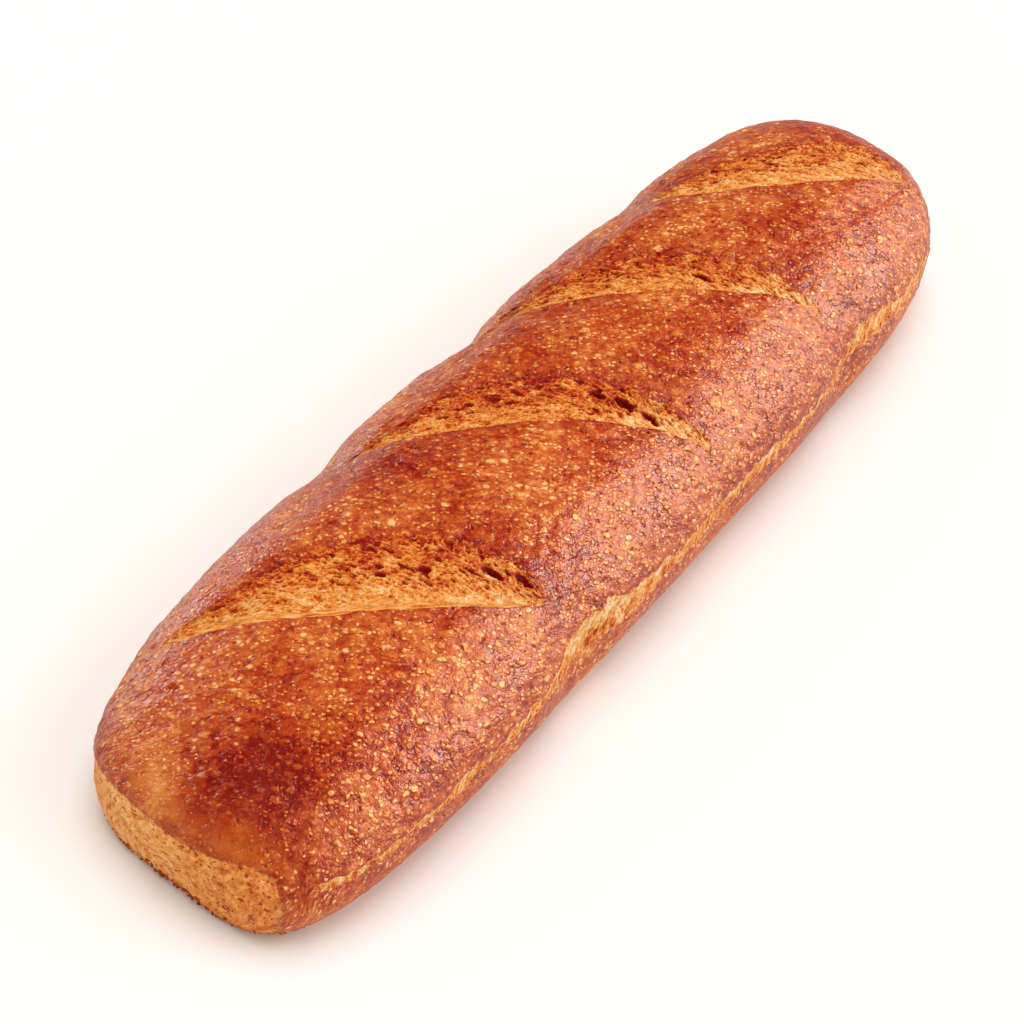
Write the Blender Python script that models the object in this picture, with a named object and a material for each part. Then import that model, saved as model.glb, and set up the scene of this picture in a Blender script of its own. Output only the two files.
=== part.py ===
"""A short french bread loaf: one baked piece, 36 cm long, lying on its flat base.

Its length runs along X and its width along Y, and it stands on Z = 0. Four oblique slashes cross the
top, each opened by the bake: the crust ends in a raised lip on the -X side of the opening, and the
crumb climbs from under that lip to a lower, ragged lip on the +X side. A tear runs low along each
flank, where the top crust parted from the crust that lay in the baking tray.
"""
import math
from collections import namedtuple

import bmesh
import bpy
import numpy as np

# Overall sizes, in metres
LENGTH = 0.360
WIDTH = 0.1068
HEIGHT = 0.0599
END_HEIGHT = 0.0102       # height of the middle of each blunt end
BASE_SHARE = 0.775        # width of the flat base as a share of the widest width
WAIST_SHARE = 0.393       # height of the widest place as a share of the height
TOP_SQUARENESS = 2.44     # 2 gives an elliptic top, more gives a boxier one
WIDTH_TAPER = -0.033      # the +X end is that much narrower than the middle
HEIGHT_TAPER = -0.008
PLAN_BLUNTNESS = (4.71, 4.33)    # of the -X end and the +X end, seen from above
SIDE_BLUNTNESS = (2.74, 5.78)    # of the -X end and the +X end, seen from the side
UNDERSIDE_BLUNTNESS = 21.0

# The slashes, from the -X end. Tips are (x, y); a bow is (reach along X, roundness, lean) of a lip
# from the line that joins the tips, where lean shifts the widest place towards the +Y tip.
Slash = namedtuple("Slash", "left right near far")
SLASHES = (
    Slash((-0.1406, 0.0376), (-0.0615, -0.0425), (-0.0065, 0.45, -0.50), (0.0286, 0.76, 0.42)),
    Slash((-0.0586, 0.0369), (0.0174, -0.0453), (0.0034, 1.90, -0.35), (0.0284, 0.56, 0.60)),
    Slash((0.0133, 0.0397), (0.0879, -0.0400), (0.0020, 1.90, 0.80), (0.0258, 0.50, 0.66)),
    Slash((0.0950, 0.0350), (0.1651, -0.0277), (-0.0140, 0.45, 0.05), (0.0246, 1.20, 0.09)),
)
LINE_BEYOND_TIP = 0.12    # how far the line of a slash runs on past its tips, in half lengths
CLOSED_WIDTH = 0.0035     # width that is left of a slash past its tips
LIP_RISE = 0.0016         # crust edge on the -X side, above the smooth form
LIP_DROP = 0.0040         # from that edge down to the crumb
CRUMB_SAG = 0.0030        # lowest place of the crumb, below the smooth form
FAR_DROP = 0.0012         # crumb at the +X lip, below the smooth form
CRUST_SWELL = 0.0024      # crust between two slashes, above the smooth form
CRAG = 0.0005             # height of the coarse crags in the crumb
VALLEY_REACH = 0.014      # half width of the valley that each slash leaves down a flank
VALLEYS_LEFT = (0.0002, 0.0025, 0.0031, 0.0020)     # its depth on the +Y flank, for each slash
VALLEYS_RIGHT = (0.0032, 0.0008, 0.0028, 0.0004)    # its depth on the -Y flank

# The tears low on the flanks: (x of the place where it climbs, height that it gains, half length)
CLIMBS_RIGHT = ((-0.048, 0.0075, 0.020), (0.106, 0.0090, 0.022))
CLIMBS_LEFT = ((-0.112, 0.0060, 0.020), (0.034, 0.0080, 0.026))
TEAR_HEIGHT = 0.0225      # of its lower lip, where it is level
TEAR_LIFT = 0.0006        # least height of that lip above the widest place
TEAR_WIDTH = 0.0026
TEAR_OPEN = 0.0050        # further width where it climbs
TEAR_DEPTH = 0.0011
TEAR_OPEN_DEPTH = 0.0012  # further depth where it climbs

# How finely the form is drawn
END_STEPS = (0.0005, 0.004, 0.014, 0.035, 0.075, 0.14, 0.23, 0.34, 0.46, 0.58, 0.70, 0.81, 0.90, 0.965)
CRUMB_STEPS = (0.07, 0.22, 0.40, 0.58, 0.76, 0.93)
CRUST_STEPS = (0.05, 0.15, 0.27, 0.40, 0.54, 0.68, 0.81, 0.91, 0.97)
BASE_SIDES = 4            # per half
LOWER_SIDES = 4
FLANK_SIDES = 2
UPPER_SIDES = 21
BASE, LOWER, FLANK, TEAR, UPPER = range(5)    # the zones round a section, from the middle of the base up


def blunt(share, near, far):
    """1 in the middle of the loaf, 0 at its ends (share -1 and 1)."""
    power = np.where(share < 0, near, far)
    return np.clip(1 - np.abs(share) ** power, 0, 1) ** (1 / power)


def section(x):
    """Half width, crest height, underside height and waist height at x."""
    share = np.clip(x / (LENGTH / 2), -1, 1)
    half = WIDTH / 2 * blunt(share, *PLAN_BLUNTNESS) * (1 + WIDTH_TAPER * share)
    crest = HEIGHT * (1 + HEIGHT_TAPER * share) - END_HEIGHT
    crest = END_HEIGHT + crest * blunt(share, *SIDE_BLUNTNESS)
    under = END_HEIGHT * (1 - blunt(share, UNDERSIDE_BLUNTNESS, UNDERSIDE_BLUNTNESS))
    return half, crest, under, under + WAIST_SHARE * (crest - under)


def along(slash, y):
    """Where y lies on the line of a slash: -1 at its +Y tip, 1 at its -Y tip."""
    middle = (slash.left[1] + slash.right[1]) / 2
    return (middle - y) / ((slash.left[1] - slash.right[1]) / 2)


def bow(shape, tau):
    reach, roundness, lean = shape
    tau = np.clip(tau, -1, 1)
    return reach * (1 - tau * tau) ** roundness * (1 - lean * tau)


def lips(slash, y):
    """x of the near lip and of the far lip at y."""
    tau = along(slash, y)
    beyond = np.maximum(np.abs(tau) - 1, 0)
    reach = LINE_BEYOND_TIP * (1 - np.exp(-beyond / LINE_BEYOND_TIP))
    eased = np.sign(tau) * (np.minimum(np.abs(tau), 1) + reach)
    line = slash.left[0] + (slash.right[0] - slash.left[0]) * (eased + 1) / 2
    near = line + bow(slash.near, tau)
    opening = np.maximum(bow(slash.far, tau) - bow(slash.near, tau), 0)
    width = np.hypot(opening, CLOSED_WIDTH)
    return near - (width - opening) / 2, near - (width - opening) / 2 + width


def ring_curve(curve, y):
    """x at y of a curve that the rings follow: an end of the loaf, or a lip of a slash."""
    if curve == "near end":
        return np.full_like(y, -LENGTH / 2)
    if curve == "far end":
        return np.full_like(y, LENGTH / 2)
    number, lip = curve
    return lips(SLASHES[number], y)[lip]


def climb(x, places):
    """How much a tear gains in height at x, and how far it has opened: 0 level, 1 at its highest."""
    rise = np.zeros_like(x)
    opened = np.zeros_like(x)
    for place, height, reach in places:
        # it climbs a little more steeply on the -X side than it falls away on the +X side
        away = (x - place) / np.where(x < place, 0.9 * reach, 1.1 * reach)
        hill = np.exp(-np.abs(away) ** 2.2)
        opened = np.maximum(opened, hill)
        rise = rise + height * hill
    return rise, opened


def stations():
    """The stations round one section, anticlockwise seen from +X, from the middle of the base.

    Each has a side (1 for +Y, -1 for -Y), a zone and a share of the way up that zone.
    """
    half = [(BASE, k / BASE_SIDES) for k in range(1, BASE_SIDES + 1)]
    half += [(LOWER, k / LOWER_SIDES) for k in range(1, LOWER_SIDES + 1)]
    half += [(FLANK, k / FLANK_SIDES) for k in range(1, FLANK_SIDES)]
    half += [(TEAR, k / 2) for k in range(3)]
    half += [(UPPER, k / UPPER_SIDES) for k in range(1, UPPER_SIDES)]
    right = [(1, zone, share) for zone, share in half]
    left = [(-1, zone, share) for zone, share in half]
    around = [(1, BASE, 0.0)] + right + [(1, UPPER, 1.0)] + left[::-1]
    return [np.array(column, dtype=float) for column in zip(*around)]


def tear_heights(x, side):
    """Heights over the waist of the lower and of the upper lip of a tear."""
    half, crest, under, waist = section(x)
    right, left = climb(x, CLIMBS_RIGHT), climb(x, CLIMBS_LEFT)
    rise = np.where(side < 0, right[0], left[0])
    opened = np.where(side < 0, right[1], left[1])
    room = crest - waist
    low = np.minimum(np.maximum(TEAR_HEIGHT - waist, TEAR_LIFT) + rise, 0.74 * room)
    high = np.minimum(low + TEAR_WIDTH + TEAR_OPEN * opened, 0.84 * room)
    return low, high, opened


def outline(x, around):
    """y and z of each station round the section, at its own x."""
    side, zone, share = around
    half, crest, under, waist = section(x)
    room = np.maximum(crest - waist, 1e-6)
    low, high, opened = tear_heights(x, side)
    angle_low = np.arcsin(np.clip(low / room, 1e-6, 0.95) ** (TOP_SQUARENESS / 2))
    angle_high = np.arcsin(np.clip(high / room, 1e-6, 0.95) ** (TOP_SQUARENESS / 2))
    turn = share * math.pi / 2
    angle = np.select(
        [zone == FLANK, zone == TEAR],
        [share * angle_low, angle_low + share * (angle_high - angle_low)],
        angle_high + share * (math.pi / 2 - angle_high),
    )
    power = 2 / TOP_SQUARENESS
    top_y = half * np.clip(np.cos(angle), 0, 1) ** power
    top_z = waist + room * np.clip(np.sin(angle), 0, 1) ** power
    low_y = half * (BASE_SHARE + (1 - BASE_SHARE) * np.sin(turn))
    low_z = waist - (waist - under) * np.cos(turn)
    y = np.select([zone == BASE, zone == LOWER], [share * BASE_SHARE * half, low_y], top_y)
    z = np.select([zone == BASE, zone == LOWER], [under, low_z], top_z)
    return side * y, z


def outward(x, y, z, around):
    """The direction out of the surface, within the section."""
    side, zone, share = around
    half, crest, under, waist = section(x)
    turn = share * math.pi / 2
    room = np.maximum(crest - waist, 1e-6)
    half = np.maximum(half, 1e-6)
    out_y = np.where(zone == LOWER, 0.35 + 0.65 * share, (np.abs(y) / half) ** (TOP_SQUARENESS - 1) / half)
    out_z = np.where(
        zone == LOWER, -0.9 * np.cos(turn), (np.maximum(z - waist, 0) / room) ** (TOP_SQUARENESS - 1) / room
    )
    length = np.maximum(np.hypot(out_y, out_z), 1e-9)
    return side * out_y / length, out_z / length


def rings():
    """Each ring as (curve, curve, share between them, slash behind, slash ahead, whether in the crumb)."""
    found = [("near end", (0, 0), step, None, 0, False) for step in END_STEPS]
    last = len(SLASHES) - 1
    for number in range(last + 1):
        near, far = (number, 0), (number, 1)
        found.append((near, near, 1.0, number - 1 if number else None, number, False))
        found += [(near, far, step, number, number, True) for step in CRUMB_STEPS]
        found.append((far, far, 0.0, number, number + 1 if number < last else None, False))
        if number < last:
            found += [(far, (number + 1, 0), step, number, number + 1, False) for step in CRUST_STEPS]
    found += [((last, 1), "far end", 1 - step, last, None, False) for step in END_STEPS[::-1]]
    return found


def smooth(value, start, end):
    share = np.clip((value - start) / (end - start), 0, 1)
    return share * share * (3 - 2 * share)


def strength(slash, y):
    """1 along the middle of a slash, 0 at its tips."""
    tau = along(slash, y)
    return 1 - smooth(np.abs(tau), 0.65, 1.05)


def relief(x, y, z, ring):
    """How far the surface stands out of the smooth form."""
    start, end, share, behind, ahead, crumb = ring
    out = np.zeros_like(x)
    for slash, left_depth, right_depth in zip(SLASHES, VALLEYS_LEFT, VALLEYS_RIGHT):
        near, far = lips(slash, y)
        off = (x - (near + far) / 2) / VALLEY_REACH
        tau = along(slash, y)
        depth = left_depth * smooth(-tau, 0.7, 1.2) + right_depth * smooth(tau, 0.7, 1.2)
        out = out - depth * np.exp(-off * off) * smooth(z, 0.002, 0.022)
    if crumb:
        floor = np.interp(share, (0.07, 0.40, 0.93), (LIP_RISE - LIP_DROP, -CRUMB_SAG, -FAR_DROP))
        crags = CRAG * (np.sin(x / 0.0031 + 1.7 * share) * np.sin(y / 0.0037) - 0.4)
        return out + strength(SLASHES[behind], y) * (floor + crags)
    if ahead is not None:
        out = out + strength(SLASHES[ahead], y) * LIP_RISE * share ** 1.5
    if behind is not None:
        out = out - strength(SLASHES[behind], y) * 0.2 * FAR_DROP * (1 - share) ** 2
    if behind is not None and ahead is not None:
        swell = (1 - share) * strength(SLASHES[behind], y) + share * strength(SLASHES[ahead], y)
        out = out + CRUST_SWELL * math.sin(math.pi * share ** 0.8) * swell
    return out


def ring_points(ring, around):
    """The points of one ring: each station slides along X until it lies on the ring's curve."""
    start, end, share = ring[:3]
    y = np.zeros_like(around[0])
    for _ in range(60):
        x = (1 - share) * ring_curve(start, y) + share * ring_curve(end, y)
        y = 0.6 * y + 0.4 * outline(x, around)[0]
    y, z = outline(x, around)
    side, zone, part = around
    rise = np.where(zone == BASE, 0, relief(x, y, z, ring))
    opened = tear_heights(x, side)[2]
    groove = (TEAR_DEPTH + TEAR_OPEN_DEPTH * opened) * smooth(LENGTH / 2 - np.abs(x), 0.002, 0.02)
    rise = rise - np.where((zone == TEAR) & (part == 0.5), groove, 0)
    out_y, out_z = outward(x, y, z, around)
    return np.stack([x, y + out_y * rise, z + out_z * rise], axis=1)


def build_loaf():
    mesh = bmesh.new()
    around = stations()
    loops = [[mesh.verts.new(spot) for spot in ring_points(ring, around)] for ring in rings()]
    count = len(around[0])
    for one, two in zip(loops, loops[1:]):
        for k in range(count):
            mesh.faces.new((one[k], one[(k + 1) % count], two[(k + 1) % count], two[k]))
    for loop, x in ((loops[0], -LENGTH / 2), (loops[-1], LENGTH / 2)):
        pole = mesh.verts.new((x, 0, END_HEIGHT))
        for k in range(count):
            mesh.faces.new((loop[k], loop[(k + 1) % count], pole))
    bmesh.ops.recalc_face_normals(mesh, faces=mesh.faces)
    bmesh.ops.triangulate(mesh, faces=mesh.faces)
    data = bpy.data.meshes.new("loaf")
    mesh.to_mesh(data)
    mesh.free()
    return data


for old in list(bpy.data.objects):
    bpy.data.objects.remove(old)

crust = bpy.data.materials.new("baked_crust")
crust.use_nodes = True
shader = crust.node_tree.nodes["Principled BSDF"]
shader.inputs["Base Color"].default_value = (0.36, 0.085, 0.026, 1)
shader.inputs["Roughness"].default_value = 0.45
shader.inputs["Metallic"].default_value = 0.0

loaf = bpy.data.objects.new("loaf", build_loaf())
loaf.data.materials.append(crust)
bpy.context.scene.collection.objects.link(loaf)
loaf.data.shade_smooth()
loaf.data.set_sharp_from_angle(angle=math.radians(50))
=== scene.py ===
"""A short french bread loaf with four slashes, on a plain pale floor under soft studio light."""
import math
from collections import namedtuple

import bmesh
import bpy
import numpy as np
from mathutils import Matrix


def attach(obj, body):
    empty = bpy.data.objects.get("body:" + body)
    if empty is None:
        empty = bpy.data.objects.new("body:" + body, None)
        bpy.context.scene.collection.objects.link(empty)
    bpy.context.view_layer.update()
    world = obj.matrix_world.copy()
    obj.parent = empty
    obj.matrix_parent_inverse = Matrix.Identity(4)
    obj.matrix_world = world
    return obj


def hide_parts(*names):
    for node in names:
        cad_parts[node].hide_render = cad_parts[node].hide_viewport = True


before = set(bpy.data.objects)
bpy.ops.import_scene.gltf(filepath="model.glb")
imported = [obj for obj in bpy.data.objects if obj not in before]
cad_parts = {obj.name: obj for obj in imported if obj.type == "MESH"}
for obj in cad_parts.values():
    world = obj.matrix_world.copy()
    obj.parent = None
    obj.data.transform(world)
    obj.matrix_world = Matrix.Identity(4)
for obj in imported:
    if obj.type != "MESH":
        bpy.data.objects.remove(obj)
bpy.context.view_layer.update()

# ---------------------------------------------------------------------------------------------------
# The form of the loaf. A real one is a rolled length of dough, slashed four times across the top,
# proofed and baked on a tray: the base stays flat, the top swells and the slashes and flanks open.
# Lengths run along X, the width along Y, and the loaf stands on Z = 0. Sizes are in metres.
# ---------------------------------------------------------------------------------------------------
LENGTH = 0.360
WIDTH = 0.1068
HEIGHT = 0.0599
END_HEIGHT = 0.0102         # height at which both ends come to a point
BASE_SHARE = 0.775          # width of the flat base, as a share of the width at the waist
WAIST_SHARE = 0.393         # height of the waist, where the loaf is widest, as a share of the crest's
TOP_SQUARENESS = 2.44       # 2 would make the top a half ellipse
WIDTH_TAPER = -0.033        # below 0 the near end is the wider one, and the higher one
HEIGHT_TAPER = -0.008
PLAN_BLUNTNESS = (4.71, 4.33)       # of the near end and of the far end, seen from above
SIDE_BLUNTNESS = (2.74, 5.78)
UNDERSIDE_BLUNTNESS = 21.0

# Tips of each slash are (x, y). A bow is (reach along X, roundness, lean) of a lip from the line
# between the tips.
Slash = namedtuple("Slash", "left right near far")
SLASHES = (
    Slash((-0.1406, 0.0376), (-0.0615, -0.0425), (-0.0065, 0.45, -0.50), (0.0286, 0.76, 0.42)),
    Slash((-0.0586, 0.0369), (0.0174, -0.0453), (0.0034, 1.90, -0.35), (0.0284, 0.56, 0.60)),
    Slash((0.0133, 0.0397), (0.0879, -0.0400), (0.0020, 1.90, 0.80), (0.0258, 0.50, 0.66)),
    Slash((0.0950, 0.0350), (0.1651, -0.0277), (-0.0140, 0.45, 0.05), (0.0246, 1.20, 0.09)),
)
LINE_BEYOND_TIP = 0.12      # how far a slash's line runs on past its tips, as a share of half the slash
LIP_RISE = 0.0016           # the near lip stands proud, the far lip sinks, the crust between them swells
FAR_DROP = 0.00024
CRUST_SWELL = 0.0024
VALLEY_REACH = 0.014        # of the valley that a slash leaves down each flank, with its depth for each
VALLEYS_LEFT = (0.0002, 0.0025, 0.0031, 0.0020)
VALLEYS_RIGHT = (0.0032, 0.0008, 0.0028, 0.0004)

# The tears low on the flanks: (x of a place where it climbs, height that it gains, half length, how
# far it opened there)
CLIMBS_RIGHT = ((-0.048, 0.0050, 0.020, 1.0), (0.106, 0.0060, 0.022, 0.26))
CLIMBS_LEFT = ((-0.112, 0.0060, 0.020, 0.8), (0.034, 0.0080, 0.026, 1.0))
TEAR_HEIGHT = 0.0225        # height of its lower lip over the floor, and the least over the waist
TEAR_LIFT = 0.0006
TEAR_WIDTH = 0.0050         # width and depth, and how much is added to each where it opened
TEAR_OPEN = 0.0092
TEAR_DEPTH = 0.0011
TEAR_OPEN_DEPTH = 0.0012
# The section's zones: flat base, its rounded edge, flank below the tear, the tear, and all above it
BASE, LOWER, FLANK, TEAR, UPPER = range(5)
SLIDE_STEPS = 44    # rounds that settle a point on a curve that depends on its own y

GRADIENTS = np.random.default_rng(7).normal(size=(4096, 3))
GRADIENTS /= np.linalg.norm(GRADIENTS, axis=1)[:, None]


def smooth(value, start, end):
    share = np.clip((value - start) / (end - start), 0, 1)
    return share * share * (3 - 2 * share)


def noise(spots, size, seed=0):
    """Smooth noise, about -1 to 1, with lumps of this size (one number, or one for each axis)."""
    spots = spots / np.asarray(size) + seed * 13.7
    cell = np.floor(spots).astype(np.int64)
    part = spots - cell
    fade = part ** 3 * (part * (part * 6 - 15) + 10)
    total = np.zeros(spots.shape[:-1])
    for corner in np.ndindex(2, 2, 2):
        far = np.array(corner)
        at = cell + far
        mixed = at[..., 0] * 73856093 ^ at[..., 1] * 19349663 ^ at[..., 2] * 83492791 ^ seed * 2654435
        mixed = (mixed ^ (mixed >> 13)) * 1274126177
        slope = GRADIENTS[(mixed >> 7) & 4095]
        weight = np.prod(np.where(far == 1, fade, 1 - fade), axis=-1)
        total += weight * np.sum(slope * (part - far), axis=-1)
    return total * 1.6


def points_at(*axes):
    """Points from their coordinates, each of them an array or one number for all."""
    return np.stack(np.broadcast_arrays(*axes), axis=-1)


def blunt(share, near, far):
    """1 in the middle of the loaf, 0 at its ends (share -1 and 1)."""
    power = np.where(share < 0, near, far)
    return np.clip(1 - np.abs(share) ** power, 0, 1) ** (1 / power)


def section(x):
    """Half width, crest height, underside height and waist height at x."""
    share = np.clip(x / (LENGTH / 2), -1, 1)
    half = WIDTH / 2 * blunt(share, *PLAN_BLUNTNESS) * (1 + WIDTH_TAPER * share)
    crest = HEIGHT * (1 + HEIGHT_TAPER * share) - END_HEIGHT
    crest = END_HEIGHT + crest * blunt(share, *SIDE_BLUNTNESS)
    under = END_HEIGHT * (1 - blunt(share, UNDERSIDE_BLUNTNESS, UNDERSIDE_BLUNTNESS))
    return half, crest, under, under + WAIST_SHARE * (crest - under)


def along(slash, y):
    """Where y lies on the line of a slash: -1 at its +Y tip, 1 at its -Y tip."""
    middle = (slash.left[1] + slash.right[1]) / 2
    return (middle - y) / ((slash.left[1] - slash.right[1]) / 2)


def bow(shape, tau):
    reach, roundness, lean = shape
    tau = np.clip(tau, -1, 1)
    return reach * (1 - tau * tau) ** roundness * (1 - lean * tau)


def torn_lips(number, y):
    """x of the near lip and of the far lip of a slash at y, both torn a little unevenly."""
    slash = SLASHES[number]
    tau = along(slash, y)
    beyond = np.maximum(np.abs(tau) - 1, 0)
    reach = LINE_BEYOND_TIP * (1 - np.exp(-beyond / LINE_BEYOND_TIP))
    eased = np.sign(tau) * (np.minimum(np.abs(tau), 1) + reach)
    near = slash.left[0] + (slash.right[0] - slash.left[0]) * (eased + 1) / 2 + bow(slash.near, tau)
    opening = np.maximum(bow(slash.far, tau) - bow(slash.near, tau), 0)
    open_here = smooth(opening, 0, 0.006)
    spot = points_at(y, 0.01 * number, 0.0)
    near = near + open_here * (0.0006 * noise(spot, 0.009, 3) + 0.0003 * noise(spot, 0.003, 4))
    ragged = 0.0013 * noise(spot, 0.0075, 5) + 0.0009 * noise(spot, 0.0028, 6)
    return near, near + np.maximum(opening + open_here * ragged, 0)


# Both lips of each slash, worked out once and then looked up
LIP_Y = np.linspace(-0.07, 0.07, 7001)
LIP_X = [torn_lips(number, LIP_Y) for number in range(len(SLASHES))]


def lips(number, y):
    near, far = LIP_X[number]
    return np.interp(y, LIP_Y, near), np.interp(y, LIP_Y, far)


def lip_open(number, y):
    """0 where a slash is closed, 1 where it is open by a few millimetres."""
    near, far = lips(number, y)
    return smooth(far - near, 0.0001, 0.005)


def ring_curve(curve, y):
    """x at y of a curve that the rings follow: an end of the loaf, or a lip of a slash."""
    if curve == "near end":
        return np.full_like(y, -LENGTH / 2)
    if curve == "far end":
        return np.full_like(y, LENGTH / 2)
    number, lip = curve
    return lips(number, y)[lip]


def climb(x, places):
    """How much a tear gains in height at x, and how far it has opened: 0 level, 1 at its highest."""
    rise = np.zeros_like(x)
    opened = np.zeros_like(x)
    for place, height, reach, part in places:
        away = (x - place) / np.where(x < place, 0.9 * reach, 1.1 * reach)
        hill = np.exp(-np.abs(away) ** 2.2)
        opened = np.maximum(opened, part * hill)
        rise = rise + height * hill
    return rise, opened


def torn_flank(x, places, seed):
    """Heights over the waist of the lower and upper lip of a tear, how far it has opened, and how
    much of it there is: it closes towards the ends of the loaf."""
    half, crest, under, waist = section(x)
    rise, opened = climb(x, places)
    room = crest - waist
    there = smooth(LENGTH / 2 - np.abs(x), 0.010, 0.017)
    spot = points_at(x, 0.0, 0.0)
    wave = 0.0009 * noise(spot, 0.013, seed) + 0.0006 * noise(spot, 0.0042, seed + 1)
    low = np.maximum(TEAR_HEIGHT - waist, TEAR_LIFT) + rise + there * wave
    low = np.minimum(low, 0.74 * room)
    ragged = 0.88 + 0.70 * noise(spot, 0.012, seed + 2) + 0.40 * noise(spot, 0.0036, seed + 3)
    ragged = np.maximum(ragged, 0.42) * (0.45 + 0.55 * smooth(x, -0.168, -0.156))
    width = (TEAR_WIDTH * ragged + TEAR_OPEN * opened) * there
    high = np.minimum(low + np.maximum(width, 0), (0.74 + 0.10 * there) * room)
    # where it opened, the crust below was drawn down by part of what the crust above was lifted
    drawn = 0.60 * TEAR_OPEN * opened * there
    low = np.maximum(low - drawn, 0.0003)
    high = np.maximum(high - drawn, low)
    return low, high, opened, there


TEAR_X = np.linspace(-LENGTH / 2, LENGTH / 2, 9001)
TORN = {-1: torn_flank(TEAR_X, CLIMBS_RIGHT, 50), 1: torn_flank(TEAR_X, CLIMBS_LEFT, 60)}


def tear_heights(x, side):
    right, left = ([np.interp(x, TEAR_X, row) for row in TORN[way]] for way in (-1, 1))
    return [np.where(side < 0, one, other) for one, other in zip(right, left)]


def outline(x, around):
    """y and z of each station round the section, at its own x."""
    side, zone, share = around[:3]
    half, crest, under, waist = section(x)
    room = np.maximum(crest - waist, 1e-6)
    low, high = tear_heights(x, side)[:2]
    angle_low = np.arcsin(np.clip(low / room, 1e-6, 0.95) ** (TOP_SQUARENESS / 2))
    angle_high = np.arcsin(np.clip(high / room, 1e-6, 0.95) ** (TOP_SQUARENESS / 2))
    turn = share * math.pi / 2
    angle = np.select(
        [zone == FLANK, zone == TEAR],
        [share * angle_low, angle_low + share * (angle_high - angle_low)],
        angle_high + share * (math.pi / 2 - angle_high),
    )
    power = 2 / TOP_SQUARENESS
    top_y = half * np.clip(np.cos(angle), 0, 1) ** power
    top_z = waist + room * np.clip(np.sin(angle), 0, 1) ** power
    low_y = half * (BASE_SHARE + (1 - BASE_SHARE) * np.sin(turn))
    low_z = waist - (waist - under) * np.cos(turn)
    y = np.select([zone == BASE, zone == LOWER], [share * BASE_SHARE * half, low_y], top_y)
    z = np.select([zone == BASE, zone == LOWER], [under, low_z], top_z)
    return side * y, z


def outward(x, y, z, around):
    """The direction out of the surface, within the section."""
    side, zone, share = around[:3]
    half, crest, under, waist = section(x)
    turn = share * math.pi / 2
    room = np.maximum(crest - waist, 1e-6)
    half = np.maximum(half, 1e-6)
    power = TOP_SQUARENESS - 1
    out_y = np.where(zone == LOWER, 0.35 + 0.65 * share, (np.abs(y) / half) ** power / half)
    out_z = np.where(zone == LOWER, -0.9 * np.cos(turn), (np.maximum(z - waist, 0) / room) ** power / room)
    length = np.maximum(np.hypot(out_y, out_z), 1e-9)
    return side * out_y / length, out_z / length


def strength(number, y):
    """1 along the middle of a slash, 0 at its tips."""
    return 1 - smooth(np.abs(along(SLASHES[number], y)), 0.65, 1.0)


def valleys(x, y, z):
    """The valley that each slash leaves down a flank."""
    out = np.zeros_like(x)
    for number, (left_depth, right_depth) in enumerate(zip(VALLEYS_LEFT, VALLEYS_RIGHT)):
        near, far = lips(number, y)
        off = (x - (near + far) / 2) / VALLEY_REACH
        tau = along(SLASHES[number], y)
        depth = left_depth * smooth(-tau, 0.7, 1.2) + right_depth * smooth(tau, 0.7, 1.2)
        out = out - depth * np.exp(-off * off) * smooth(z, 0.002, 0.022)
    return out


def slide(start, end, share, around):
    """x, y and z of stations that slide along X until they lie on a ring between two curves."""
    y = np.zeros(np.broadcast(share, around[0]).shape)
    for _ in range(SLIDE_STEPS):
        x = (1 - share) * ring_curve(start, y) + share * ring_curve(end, y)
        y = 0.6 * y + 0.4 * outline(x, around)[0]
    return (x,) + outline(x, around)


def even_shares(zone, spacing):
    """Shares of the way up a zone that space its stations evenly, at the middle of the loaf."""
    share = np.linspace(0, 1, 3001)
    y, z = outline(np.zeros_like(share), (np.ones_like(share), np.full_like(share, zone), share))
    run = np.concatenate([[0], np.cumsum(np.hypot(np.diff(y), np.diff(z)))])
    return np.interp(np.linspace(0, run[-1], max(2, round(run[-1] / spacing) + 1)), run, share)


# ---------------------------------------------------------------------------------------------------
# The crust: one baked skin, parted by the slashes and by a tear low along each flank, so it is made
# as a top crust and a base crust. Each edge turns in about a millimetre, the thickness of the crust.
# ---------------------------------------------------------------------------------------------------
SPACING = 0.00092
BASE_SPACING = 0.0035
END_REACH = 0.118       # length of an end and half width of the loaf, for the spacing of the rings
END_RADIUS = 0.05
BETWEEN_SLASHES = 0.083
SLANT = (0.62, 0.78)    # the way that the dough was rolled and slashed, on the unrolled crust
# Turned-in edge of the crust: (how far into the opening, how far in from the surface)
TURNS = ((0.00012, 0.00008), (0.00022, 0.00036), (0.00005, 0.00110), (-0.00060, 0.00180))
FAR_TURNS = ((0.00025, 0.00010), (0.00045, 0.00030), (0.00055, 0.00060), (0.00050, 0.00120))

# Where the near end was joined to the next loaf: height of the crust's edge over the pale face
PALE_EDGE = ((-0.0385, 0.0150), (-0.0365, 0.0225), (-0.0335, 0.0280), (-0.027, 0.0294), (-0.016, 0.0280),
             (-0.004, 0.0260), (0.008, 0.0261), (0.025, 0.0251), (0.034, 0.0240), (0.044, 0.0215),
             (0.052, 0.0050))
PALE_SIDE = -0.0372
# Where the crust baked darker, or less, and one place darkened as painted shade: (how much darker, centre,
# reach)
BAKED_AND_SHADED = (
    (0.98, (-0.158, -0.019, 0.042), (0.013, 0.019, 0.020)),
    (-0.52, (-0.168, 0.013, 0.034), (0.012, 0.016, 0.006)),
    (-0.58, (-0.168, -0.021, 0.033), (0.012, 0.012, 0.006)),
    (-0.40, (-0.1695, -0.041, 0.012), (0.012, 0.007, 0.016)),
    (0.30, (-0.055, -0.042, 0.046), (0.012, 0.008, 0.012)),
    (0.25, (0.101, -0.042, 0.046), (0.012, 0.008, 0.012)),
    # painted shade: the +Y side of the crown behind the first slash, turned away from the side light
    (0.40, (-0.066, 0.027, 0.056), (0.024, 0.013, 0.014)),
    (0.22, (0.162, 0.004, 0.050), (0.014, 0.030, 0.020)),
)
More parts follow.
